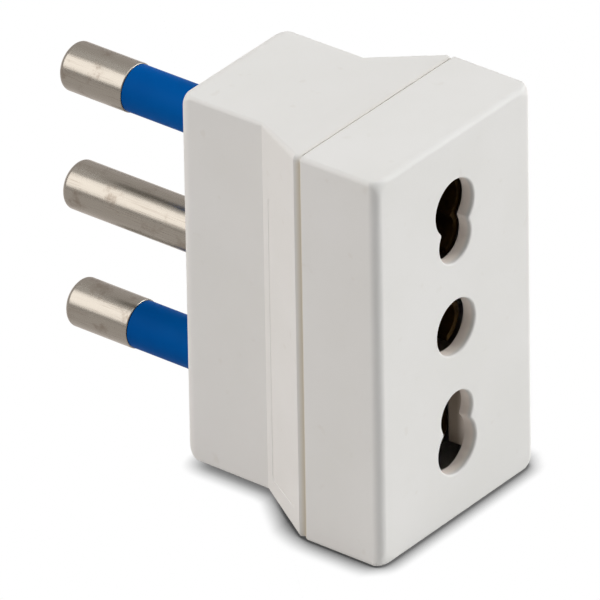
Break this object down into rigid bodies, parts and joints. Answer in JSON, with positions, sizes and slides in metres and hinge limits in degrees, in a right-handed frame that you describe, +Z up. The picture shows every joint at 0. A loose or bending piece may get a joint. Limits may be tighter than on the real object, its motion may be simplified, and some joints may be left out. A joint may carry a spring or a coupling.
{
  "type": "plug adapter",
  "caption": "In-line plug adapter: round-pin plug with an earth pin behind, and a flared housing whose wider cover has a socket for two pin sizes.",
  "frame": {"origin": "middle of the bounding box in X and Y, on the surface that the adapter stands on", "axes": "the socket face looks along -Y, the plug pins point along +Y, +Z runs up the row of pins, X is the width"},
  "size_m": [0.024, 0.0463, 0.0418],
  "materials": {
    "cover_plastic": "moulded white thermoplastic, fine satin",
    "housing_plastic": "moulded white thermoplastic, fine satin",
    "plated_pin": "turned brass, nickel plated, lightly scratched",
    "blue_sleeve": "moulded blue insulation",
    "contact_brass": "bent brass strip"
  },
  "bodies": {
    "root": {"front_cover": "cover_plastic", "rear_housing": "housing_plastic", "earth_pin": "plated_pin", "upper_line_pin": "plated_pin", "lower_line_pin": "plated_pin", "upper_pin_sleeve": "blue_sleeve", "lower_pin_sleeve": "blue_sleeve", "earth_contact": "contact_brass", "upper_line_contact": "contact_brass", "lower_line_contact": "contact_brass"}
  },
  "joints": []
}
